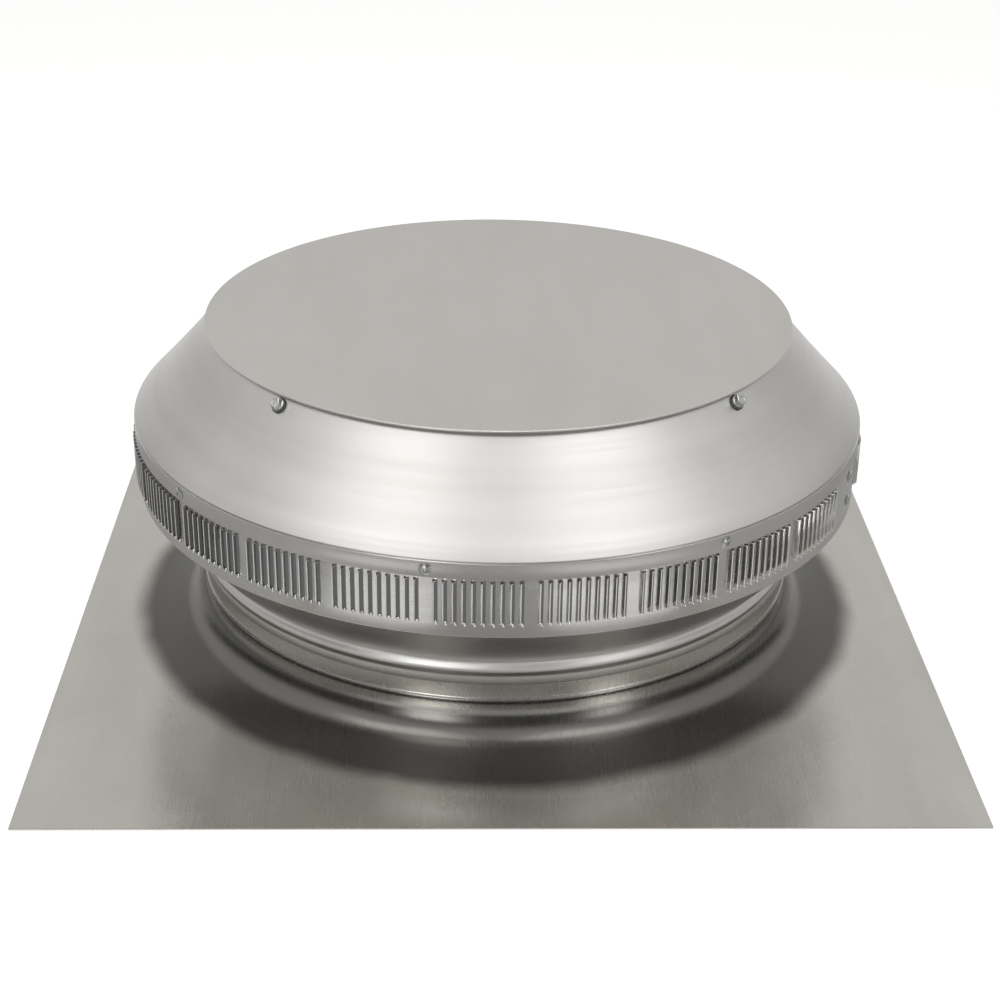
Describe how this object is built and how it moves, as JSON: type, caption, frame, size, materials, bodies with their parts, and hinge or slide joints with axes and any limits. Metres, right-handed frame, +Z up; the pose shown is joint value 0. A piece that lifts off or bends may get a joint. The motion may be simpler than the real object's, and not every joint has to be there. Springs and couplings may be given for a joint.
{
  "type": "static roof vent",
  "caption": "Static louvered roof vent in spun aluminium: square flashing with a round collar, conical hood, louver band and flat cap disc.",
  "frame": {"origin": "centre of the flashing's underside, on the vent's axis", "axes": "+Z up along the vent's axis, -Y towards the front, flashing's sides along X and Y"},
  "size_m": [0.7112, 0.7112, 0.2633],
  "materials": {
    "flashing_aluminium": "mill finish sheet, satin",
    "spun_pan_aluminium": "spun, fine turning lines, bright satin",
    "louver_aluminium": "mill finish strip, satin",
    "spun_hood_aluminium": "spun, fine turning lines, satin",
    "cap_aluminium": "mill finish sheet, dull satin",
    "bracket_aluminium": "mill finish strip, satin",
    "zinc_plated_steel": "zinc plated, satin",
    "black_rubber": "matt",
    "rivet_aluminium": "satin"
  },
  "bodies": {
    "root": {"band_lap_rivets": "rivet_aluminium", "base_flashing": "flashing_aluminium", "cap_bracket_1": "bracket_aluminium", "cap_bracket_2": "bracket_aluminium", "cap_bracket_3": "bracket_aluminium", "cap_bracket_4": "bracket_aluminium", "cap_disc": "cap_aluminium", "cap_screw_washers": "black_rubber", "cap_screws": "zinc_plated_steel", "hood": "spun_hood_aluminium", "louver_band": "louver_aluminium", "lower_pan": "spun_pan_aluminium", "rim_rivets": "rivet_aluminium"}
  },
  "joints": []
}
